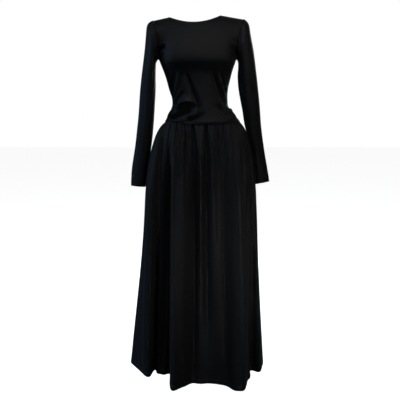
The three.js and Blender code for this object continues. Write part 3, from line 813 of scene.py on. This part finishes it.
def makeSleeve(side):
    shoulder, rows = shoulders[side], sleeves[side]
    table = [(index, *row) for index, row in enumerate(rows)]
    outward = np.sign(shoulder["tipX"])
    places = edgeRows(sleeves["rings"], sleeves["edgeRings"])
    steps = places * (len(rows) - 1)
    angles = np.linspace(0, -outward * 360, sleeves["sides"] + 1)
    inward = rounded(np.cos(np.radians(angles)))[None, :]
    forward = rounded(np.sin(np.radians(angles)))[None, :]
    innerX, innerZ, outerX, outerZ, front, back = (
        smoothTable(table, column, steps)[:, None] for column in range(1, 7)
    )
    level = (1 - inward) / 2
    fade = np.clip(1 - steps / sleeves["bowFade"], 0, 1)[:, None]
    bow = -outward * bodice["armholeBow"] * forward ** 2 * fade
    lean = -outward * sleeves["frontLean"] * np.maximum(forward, 0) ** 2 * (1 - fade)
    x = innerX + (outerX - innerX) * level + bow + lean
    z = innerZ + (outerZ - innerZ) * level
    roundY = (front + back) / 2 - (back - front) / 2 * forward
    armholeY = np.where(forward >= 0, front, -back) * forward + bodice["shoulderSeamY"] * level
    y = roundY + (armholeY - roundY) * fade
    points = np.stack([x, y, z], axis=2)[::-1]
    points[-1] = armholePoint(shoulder, angles).T
    normals = gridNormals(points, closed=True)
    along = places[::-1][:, None]
    lift = softWrinkles(points, sleeves, outward)
    lift += sleeveCreases(side, np.mod(angles, 360)[None, :], along)
    lift[:, -1] = lift[:, 0]
    fromSeam = edgeDistance(points, -1)
    fromCuff = edgeDistance(points, 0)
    lift *= smoothStep(0, sleeves["liftFade"], fromSeam)
    lift -= dress["edgeGroove"] * bell(fromSeam, dress["seamGrooveWidth"])
    lift += hemRelief(fromCuff - sleeves["cuffHemDepth"], sleeves)
    points = points + normals * lift[:, :, None]
    points[:, :, 0] += outward * dress["seamGap"] / 2 * smoothStep(sleeves["gapFade"], 0, fromSeam)
    uv = clothUv(lengthAlong(points[sleeves["knitRing"]]), -sleeves["knitLength"] * along)
    piece = sheetFromGrid("sleeve_" + side + "_cloth", points, uv, closed=True)
    finishPiece(piece, blackJersey, "sleeve_" + side)
    return piece, points, normals


sleeveSides = {side: makeSleeve(side) for side in ("left", "right")}
print("sleeves done")


# Skirt

skirt = {
    "hipHeight": -0.640,
    "hemHeight": -1.323,
    "columns": 300,              # across each half
    # rows of the grid: depths below the waist seam, the first and last of more and their number,
    # the start below the hip and end above the hem of more and their number, heights above the hem
    "seamRows": [0, 0.0012, 0.0025, 0.004, 0.006, 0.0085],
    "upperRows": (0.012, 0.24, 46),
    "lowerRows": (0.006, 0.020, 60),
    "hemRows": [0.0175, 0.0155, 0.0143, 0.013, 0.011, 0.007, 0.003, 0],
    "hemFold": 0.015,
    "hemRelief": (0.0005, 0.0007),
    "wrinkles": (0.07, 4.0, 0.0016),
    "wrinkleShift": 3,
    "gatherStart": 0.4,          # share of a gather's depth right at the seam
    "gatherRise": 0.014,         # way down in which a whole depth would be added to that
    "gatherFade": 1.5,
    "pinchDepth": 0.0012,        # the smallest gathers, right at the seam
    "pinchLength": 0.016,
    "pinchCount": 2,             # in each gather
    "pinchWander": (0.2, 1.3),   # how far they are out of step, and how fast that changes
    "ridgeRoundness": 0.95,
    "softenPasses": 5,           # rounds off the folds below the gathers
    "softenStrength": 0.5,
    "softenDepths": (0.02, 0.09),
    "liftFade": 0.03,            # folds and wrinkles set in over this way below the seam
    "frontFade": (0.02, -0.02),  # y between which the front folds set in
    "sideFade": (0.10, 0.15),    # x between which the side folds set in
    # how fast the skirt widens from the seam to the hip: part of the drop, part of the width
    "flare": [
        (0, 0), (0.012, 0.035), (0.03, 0.1), (0.06, 0.195), (0.105, 0.3), (0.176, 0.43),
        (0.293, 0.58), (0.47, 0.74), (0.70, 0.89), (1, 1),
    ],
    # crests and hollows of the long folds: turn at the waist, x and y at the hip, x and y at the hem
    "folds": [
        (-14, -0.19, 0.03, -0.268, 0.046), (6, -0.198, -0.042, -0.233, -0.046),
        (15, -0.172, -0.094, -0.187, -0.128), (22, -0.145, -0.078, -0.168, -0.05),
        (30, -0.14, -0.1, -0.158, -0.1), (35, -0.126, -0.106, -0.137, -0.108),
        (40, -0.113, -0.104, -0.117, -0.098), (44, -0.108, -0.132, -0.107, -0.205),
        (48, -0.098, -0.156, -0.093, -0.256), (57, -0.066, -0.15, -0.062, -0.224),
        (77, -0.017, -0.138, -0.022, -0.187), (86, 0.008, -0.146, 0.006, -0.191),
        (94, 0.03, -0.138, 0.033, -0.186), (112, 0.075, -0.149, 0.08, -0.2),
        (131, 0.109, -0.142, 0.111, -0.228), (139, 0.131, -0.148, 0.129, -0.255),
        (145, 0.15, -0.148, 0.157, -0.253), (150, 0.163, -0.138, 0.171, -0.205),
        (154, 0.173, -0.13, 0.179, -0.156), (159, 0.186, -0.118, 0.192, -0.138),
        (165, 0.193, -0.068, 0.199, -0.056), (171, 0.207, -0.064, 0.226, -0.078),
        (178, 0.212, -0.016, 0.245, -0.012), (190, 0.203, 0.036, 0.25, 0.054),
        (199, 0.187, 0.07, 0.222, 0.088), (209, 0.178, 0.107, 0.224, 0.156),
        (220, 0.148, 0.108, 0.176, 0.146), (232, 0.124, 0.145, 0.15, 0.226),
        (241, 0.097, 0.134, 0.122, 0.19), (249, 0.078, 0.144, 0.094, 0.206),
        (258, 0.052, 0.138, 0.06, 0.178), (269, 0.015, 0.158, 0.02, 0.24),
        (276, -0.014, 0.143, -0.014, 0.196), (284, -0.04, 0.148, -0.044, 0.214),
        (292, -0.07, 0.134, -0.082, 0.176), (303, -0.104, 0.148, -0.126, 0.232),
        (313, -0.126, 0.116, -0.156, 0.158), (324, -0.158, 0.112, -0.208, 0.186),
        (335, -0.167, 0.076, -0.218, 0.110),
    ],
    # gathers across the front: turn, depth and length of each hollow
    "frontGathers": [
        (0, 0.006, 0.06), (9, 0.008, 0.06), (17, 0.008, 0.05), (25, 0.0105, 0.08),
        (32, 0.008, 0.05), (38, 0.009, 0.06), (44, 0.013, 0.075), (51.5, 0.015, 0.11),
        (60.5, 0.013, 0.065), (66, 0.0155, 0.15), (70.5, 0.013, 0.115), (77.5, 0.021, 0.24),
        (86, 0.0065, 0.04), (94, 0.0185, 0.19), (100, 0.007, 0.045), (106, 0.013, 0.085),
        (111, 0.0115, 0.075), (118, 0.0165, 0.11), (126, 0.008, 0.055), (134.5, 0.013, 0.18),
        (142, 0.0085, 0.07), (149, 0.01, 0.08), (156, 0.0105, 0.09), (163, 0.0105, 0.12),
        (171, 0.0075, 0.08),
    ],
    # long hollows and ridges down the front, as lines on it: x and z of the start, of the bend and
    # of the end, width of the fall on the right and left, height
    "frontFolds": [
        # hollows
        (-0.012, -0.395, -0.014, -0.64, -0.024, -1.35, 0.01, 0.014, -0.023),
        (0.03, -0.395, 0.026, -0.62, 0.034, -1.18, 0.009, 0.013, -0.018),
        (0.08, -0.395, 0.104, -0.62, 0.113, -1.4, 0.013, 0.022, -0.026),
        (-0.127, -0.465, -0.137, -0.8, -0.154, -1.4, 0.014, 0.009, -0.03),
        (-0.109, -0.465, -0.115, -0.76, -0.119, -1.4, 0.009, 0.013, -0.03),
        (0.178, -0.52, 0.186, -0.86, 0.192, -1.36, 0.006, 0.009, -0.018),
        (0.062, -0.42, 0.066, -0.6, 0.076, -0.86, 0.012, 0.01, -0.011),
        (-0.05, -0.4, -0.05, -0.48, -0.048, -0.6, 0.005, 0.005, -0.009),
        (-0.076, -0.396, -0.075, -0.47, -0.073, -0.59, 0.005, 0.005, -0.012),
        (0.075, -0.4, 0.076, -0.45, 0.075, -0.57, 0.005, 0.005, -0.01),
        (0.1, -0.42, 0.104, -0.54, 0.107, -0.74, 0.006, 0.006, -0.012),
        # ridges
        (-0.056, -0.44, -0.056, -0.64, -0.052, -1.33, 0.016, 0.024, 0.011),
        (-0.088, -0.44, -0.094, -0.66, -0.102, -1.36, 0.008, 0.01, 0.008),
        (0.128, -0.46, 0.148, -0.7, 0.156, -1.36, 0.005, 0.007, 0.011),
        (0.006, -0.42, 0.008, -0.6, 0.006, -0.94, 0.01, 0.01, 0.0065),
        (0.166, -0.47, 0.176, -0.76, 0.176, -1.33, 0.006, 0.006, 0.0055),
        (-0.176, -0.56, -0.19, -0.86, -0.206, -1.33, 0.008, 0.008, 0.007),
    ],
    # ridges down the right side, behind the sleeve: as above, with y in place of x
    "sideFolds": [
        (0.05, -0.41, 0.054, -0.49, 0.062, -0.66, 0.016, 0.014, 0.013),
        (0.088, -0.44, 0.096, -0.6, 0.11, -0.98, 0.012, 0.012, 0.006),
    ],
    # gathers across the back: their number, then mean, sway, pace and start of depth and length
    "backGathers": 20,
    "backDepth": (0.0110, 0.0035, 2.4, 0),
    "backLength": (0.080, 0.035, 1.7, 1),
}


def gatherTable():
    rows = list(skirt["frontGathers"])
    for count in range(skirt["backGathers"]):
        row = [180 + 180 * count / skirt["backGathers"]]
        for mean, sway, pace, start in (skirt["backDepth"], skirt["backLength"]):
            row.append(mean + sway * math.sin(pace * count + start))
        rows.append(row)
    return np.array(rows + [(360, *rows[0][1:])])


def closedCurve(points, places):
    # a smooth closed curve through the points. A place is a point's index, with a part
    count = len(points)
    index = np.floor(places).astype(int)
    corner = [points[(index + step) % count] for step in (-1, 0, 1, 2)]
    runs = [corner[step + 1] - corner[step] for step in range(3)]
    gaps = [np.sqrt(np.linalg.norm(run, axis=1))[:, None] for run in runs]
    before = runs[0] / gaps[0] - (corner[2] - corner[0]) / (gaps[0] + gaps[1])
    start = (before + runs[1] / gaps[1]) * gaps[1]
    after = runs[1] / gaps[1] - (corner[3] - corner[1]) / (gaps[1] + gaps[2])
    end = (after + runs[2] / gaps[2]) * gaps[1]
    return hermite(corner[1], corner[2], start, end, (places - index)[:, None])


def skirtCurve(turns, height):
    # plan of the long folds at one height
    folds = np.array(skirt["folds"])
    foldTurns = folds[:, 0]
    wrapped = foldTurns[0] + np.mod(turns - foldTurns[0], 360)
    places = np.interp(wrapped, np.append(foldTurns, foldTurns[0] + 360), np.arange(len(folds) + 1))
    waistPoints = waistPlan(foldTurns)
    hip, hem = folds[:, 1:3], folds[:, 3:5]
    seam = waistHeight(foldTurns)
    if height > skirt["hipHeight"]:
        part = np.clip((seam - height) / (seam - skirt["hipHeight"]), 0, 1)
        control = waistPoints + (hip - waistPoints) * smoothTable(skirt["flare"], 1, part)[:, None]
    else:
        part = (skirt["hipHeight"] - height) / (skirt["hipHeight"] - skirt["hemHeight"])
        control = hip + (hem - hip) * part
    return waistPlan(turns) + closedCurve(control, places) - closedCurve(waistPoints, places)


def evenTurns(start, end, count):
    # turns spread evenly over the cloth, half by the hem's length and half by the waist's
    fine = np.linspace(start, end, 4000)
    spread = np.zeros(len(fine))
    for curve in (skirtCurve(fine, skirt["hemHeight"]), waistPlan(fine)):
        length = lengthAlong(curve)
        spread += length / length[-1]
    return np.interp(np.linspace(0, 2, count + 1), spread, fine)


def gatherHollow(turns, depthBelow, table):
    # how far the cloth is drawn in, at each turn and depth below the seam
    index = np.clip(np.searchsorted(table[:, 0], turns, side="right") - 1, 0, len(table) - 2)
    start, end = table[index], table[index + 1]
    part = (turns - start[:, 0]) / (end[:, 0] - start[:, 0])
    _, depth, length = (start + (end - start) * smoothStep(0, 1, part)[:, None]).T
    wave = 1 - np.abs(np.sin(np.pi * part)) ** skirt["ridgeRoundness"]
    growth = np.minimum(skirt["gatherStart"] + depthBelow / skirt["gatherRise"], 1)
    full = growth * np.exp(-(depthBelow / length) ** skirt["gatherFade"])
    wander, pace = skirt["pinchWander"]
    turned = part * skirt["pinchCount"] + wander * np.sin(table[index, 0] * pace)
    pinch = 0.5 - 0.5 * np.cos(2 * np.pi * turned)
    small = skirt["pinchDepth"] * np.exp(-depthBelow / skirt["pinchLength"])
    return depth * wave * full + small * pinch


def skirtLevels(seam):
    # heights of the rows from the waist seam down to the hem
    below, above, count = skirt["lowerRows"]
    lower = np.linspace(skirt["hipHeight"] - below, skirt["hemHeight"] + above, count)
    hemRows = skirt["hemHeight"] + np.array(skirt["hemRows"])
    drops = np.concatenate([skirt["seamRows"], np.linspace(*skirt["upperRows"])])
    levels = [seam - drop - dress["seamGap"] for drop in drops]
    return levels + [np.full_like(seam, height) for height in np.concatenate([lower, hemRows])]


def gatheredPoints(turns, seam):
    # the long folds and the gathers, in rows from the hem up
    gathers = gatherTable()
    levels = skirtLevels(seam)
    rows = [np.column_stack([waistPlan(turns), levels[0]])]
    for z in levels[1:]:
        plan = np.zeros((len(turns), 2))
        level = np.round(z, 4)
        for value in np.unique(level):
            chosen = level == value
            plan[chosen] = skirtCurve(turns[chosen], value)
        tangent = np.gradient(plan, axis=0)
        tangent /= np.maximum(np.linalg.norm(tangent, axis=1, keepdims=True), 1e-9)
        hollow = gatherHollow(turns, seam - z, gathers)
        plan += np.stack([-tangent[:, 1], tangent[:, 0]], axis=1) * hollow[:, None]
        rows.append(np.column_stack([plan, z]))
    return np.array(rows)[::-1]


def makeSkirtPoints():
    halves = [evenTurns(0, 180, skirt["columns"]), evenTurns(180, 360, skirt["columns"])]
    turns = np.concatenate([halves[0], halves[1][1:]])
    seam = waistHeight(turns)
    points = gatheredPoints(turns, seam)
    x, y, z = points[:, :, 0], points[:, :, 1], points[:, :, 2]
    below = seam[None, :] - z
    setIn = smoothStep(0, skirt["liftFade"], below)
    folds = creaseHeight(skirt["frontFolds"], x, z) * smoothStep(*skirt["frontFade"], y)
    folds += creaseHeight(skirt["sideFolds"], y, z) * smoothStep(*skirt["sideFade"], x)
    # these folds stand out from the body, and the wrinkles below from the cloth itself
    around = np.gradient(waistPlan(turns), axis=0)
    around /= np.linalg.norm(around, axis=1, keepdims=True)
    outward = np.stack([around[:, 1], -around[:, 0], np.zeros(len(turns))], axis=1)
    points = points + outward[None, :, :] * (folds * setIn)[:, :, None]
    softness = skirt["softenStrength"] * smoothStep(*skirt["softenDepths"], below)[:, 1:-1, None]
    for _ in range(skirt["softenPasses"]):
        middle = (points[:, :-2] + points[:, 2:]) / 2
        points[:, 1:-1] += softness * (middle - points[:, 1:-1])
    normals = gridNormals(points, closed=True)
    lift = softWrinkles(points, skirt, skirt["wrinkleShift"])
    lift[:, -1] = lift[:, 0]
    lift *= setIn
    lift -= dress["seamGroove"] * bell(below, dress["seamGrooveWidth"])
    lift += hemRelief(points[:, :, 2] - skirt["hemHeight"] - skirt["hemFold"], skirt)
    points = points + normals * lift[:, :, None]
    return points, normals, lengthAlong(points[0])


skirtPoints, skirtNormals, hemWidth = makeSkirtPoints()
skirtUv = clothUv(hemWidth, skirtPoints[:, :, 2])
skirtHalves = {
    "front": slice(0, skirt["columns"] + 1),
    "back": slice(skirt["columns"], 2 * skirt["columns"] + 1),
}
skirtPieces = {}
for side, half in skirtHalves.items():
    skirtPieces[side] = sheetFromGrid("skirt_" + side + "_cloth", skirtPoints[:, half], skirtUv[:, half])
    finishPiece(skirtPieces[side], blackJersey, "skirt_" + side)
print("skirt done, hem", round(float(hemWidth[-1]), 3), "m round")


# Sewing

sewing = {
    "stitchLength": 0.0030,
    "stitchSpacing": 0.0036,
    "threadWidth": 0.0005,
    "stitchLift": 0.0001,
    "needleGap": 0.0032,
    "hemRows": (0.0143, 0.0175),
}


def needleRows(depth):
    # the two rows of a twin needle, either side of the sewn line
    return depth - sewing["needleGap"] / 2, depth + sewing["needleGap"] / 2


def gridLine(points, normals, distances, depth, fromTop=False):
    # a line on a grid at a set distance from its bottom or top edge, column by column
    line, out = [], []
    for column in range(points.shape[1]):
        along = distances[::-1, column] if fromTop else distances[:, column]
        place = float(np.interp(depth, along, np.arange(len(along))))
        place = len(along) - 1 - place if fromTop else place
        low = min(int(place), len(along) - 2)
        part = place - low
        line.append(points[low, column] * (1 - part) + points[low + 1, column] * part)
        out.append(normals[low, column])
    return np.array(line), np.array(out)


def makeStitches(name, lines):
    template = stitchTemplate(sewing["stitchLength"], sewing["threadWidth"])
    bm = bmesh.new()
    for path, out in lines:
        stitchRow(bm, template, path, out, sewing["stitchSpacing"], sewing["stitchLift"])
    piece = meshPiece(name, bm)
    finishPiece(piece, blackThread)
    return piece


neckStart = (columnSteps["armhole"] + columnSteps["shoulder"]) * bodice["columnsPerStep"]
neckColumns = slice(neckStart, neckStart + columnSteps["neck"] * bodice["columnsPerStep"] + 1)
neckLines = []
for _, points, normals in bodiceSides.values():
    near, out = points[:, neckColumns], normals[:, neckColumns]
    for depth in needleRows(bodice["neckHemDepth"]):
        neckLines.append(gridLine(near, out, edgeDistance(near, -1), depth, fromTop=True))
neckStitches = makeStitches("neck_stitches", neckLines)

for side, (_, points, normals) in sleeveSides.items():
    lines = []
    for depth in needleRows(sleeves["cuffHemDepth"]):
        lines.append(gridLine(points, normals, edgeDistance(points, 0), depth))
    makeStitches("cuff_stitches_" + side, lines)

for side, half in skirtHalves.items():
    points, normals = skirtPoints[:, half], skirtNormals[:, half]
    lines = []
    for depth in sewing["hemRows"]:
        lines.append(gridLine(points, normals, points[:, :, 2] - skirt["hemHeight"], depth))
    makeStitches("hem_stitches_" + side, lines)
print("sewing done")


# Camera, floor and light

studio = {
    "cameraPlace": (0.0037, -2.700, -0.303),
    "cameraTilt": math.radians(90 - 7.86),
    "lens": 65.16,
    "sensorWidth": 36,
    "floorHeight": -1.445,
    "floorSize": 30.0,
    "floorGlow": 0.92,           # how far the floor shines towards the camera alone
    "floorDark": (0.08, 0.08, 0.08),   # the floor's colour to the dress, then to the camera
    "floorPale": (0.9, 0.9, 0.9),
    "floorRoughness": 0.9,
    "floorSpecular": 0.05,
    "background": (1.0, 1.0, 1.0),
    "ambientColour": (0.96, 0.98, 1.0),
    "ambient": 0.03,
    # name, place, target, width and height, power, colour, spread in degrees
    "lights": [
        ("above left", (-1.3, -2.0, 2.9), (0, 0, -0.6), (0.8, 0.6), 56, (0.98, 0.98, 1.0), 180),
        ("cool left", (-3.2, 0.1, 0.4), (0, 0, -0.7), (0.7, 1.8), 50, (0.36, 0.66, 1.0), 180),
        ("front left", (-2.7, -2.0, 0.6), (0, 0, -0.8), (0.7, 1.2), 14, (0.4, 0.7, 1.0), 180),
        ("front right", (1.4, -3.3, -0.3), (0, 0, -1.0), (0.8, 0.8), 12, (0.66, 0.83, 1.0), 180),
        ("above right", (1.2, -1.9, 2.9), (0, 0, -0.6), (0.8, 0.6), 32, (1.0, 0.98, 0.94), 180),
        ("chest", (1.4, -1.9, 0.6), (0.12, -0.1, -0.13), (0.3, 0.3), 0.28, (1.0, 0.98, 0.92), 16),
        ("skirt side", (1.2, -2.6, 0.1), (0.22, -0.1, -0.86), (0.4, 0.4), 0.8, (1.0, 0.98, 0.92), 18),
        ("panel", (1.0, -2.7, -0.3), (-0.08, -0.15, -0.98), (0.6, 0.6), 0.15, (1.0, 0.98, 0.92), 12),
        ("behind", (0.9, 3.2, 0.5), (0, 0, -0.6), (1.6, 1.6), 34, (0.92, 0.96, 1.0), 180),
    ],
}


def makeCamera(scene):
    data = bpy.data.cameras.new("camera")
    data.lens = studio["lens"]
    data.sensor_width = studio["sensorWidth"]
    camera = bpy.data.objects.new("camera", data)
    camera.location = studio["cameraPlace"]
    camera.rotation_euler = (studio["cameraTilt"], 0, 0)
    scene.collection.objects.link(camera)
    scene.camera = camera


def makeSurroundings(scene):
    # white to the camera, a faint light to the dress
    world = bpy.data.worlds.new("studio")
    scene.world = world
    world.use_nodes = True
    tree = world.node_tree
    soft = tree.nodes["Background"]
    setSockets(soft, {"Color": (*studio["ambientColour"], 1), "Strength": studio["ambient"]})
    white = addNode(tree, "ShaderNodeBackground", (-200, -200))
    setSockets(white, {"Color": (*studio["background"], 1), "Strength": 1})
    path = addNode(tree, "ShaderNodeLightPath", (-200, 400))
    mix = addNode(tree, "ShaderNodeMixShader", (100, 0))
    for index, source in enumerate((path.outputs["Is Camera Ray"], soft.outputs[0], white.outputs[0])):
        tree.links.new(source, mix.inputs[index])
    tree.links.new(mix.outputs[0], tree.nodes["World Output"].inputs[0])


def makeFloor():
    bm = bmesh.new()
    bmesh.ops.create_grid(bm, x_segments=1, y_segments=1, size=studio["floorSize"] / 2)
    bmesh.ops.translate(bm, vec=(0, 0, studio["floorHeight"]), verts=bm.verts)
    floor = meshPiece("floor", bm)
    paint, tree, shader = newMaterial("pale floor")
    seen = addNode(tree, "ShaderNodeLightPath", (-600, -200)).outputs["Is Camera Ray"]
    glow = mathNode(tree, "MULTIPLY", (-300, -200), seen, studio["floorGlow"])
    tone = mixNode(tree, (-300, 100), "pale to the camera", seen, studio["floorDark"], studio["floorPale"])
    tree.links.new(glow, shader.inputs["Emission Strength"])
    tree.links.new(tone, shader.inputs["Base Color"])
    setSockets(shader, {
        "Roughness": studio["floorRoughness"],
        "Specular IOR Level": studio["floorSpecular"],
        "Emission Color": (1, 1, 1, 1),
    })
    floor.data.materials.append(paint)


def makeLights(scene):
    for name, place, target, size, power, colour, spread in studio["lights"]:
        data = bpy.data.lights.new(name, "AREA")
        data.shape = "RECTANGLE"
        data.size, data.size_y = size
        data.spread = math.radians(spread)
        data.energy = power
        data.color = colour
        light = bpy.data.objects.new(name, data)
        light.location = place
        direction = Vector(target) - Vector(place)
        light.rotation_euler = direction.to_track_quat("-Z", "Y").to_euler()
        scene.collection.objects.link(light)


bpy.context.scene.view_settings.view_transform = "Standard"
makeCamera(bpy.context.scene)
makeSurroundings(bpy.context.scene)
makeFloor()
makeLights(bpy.context.scene)
print("studio done")
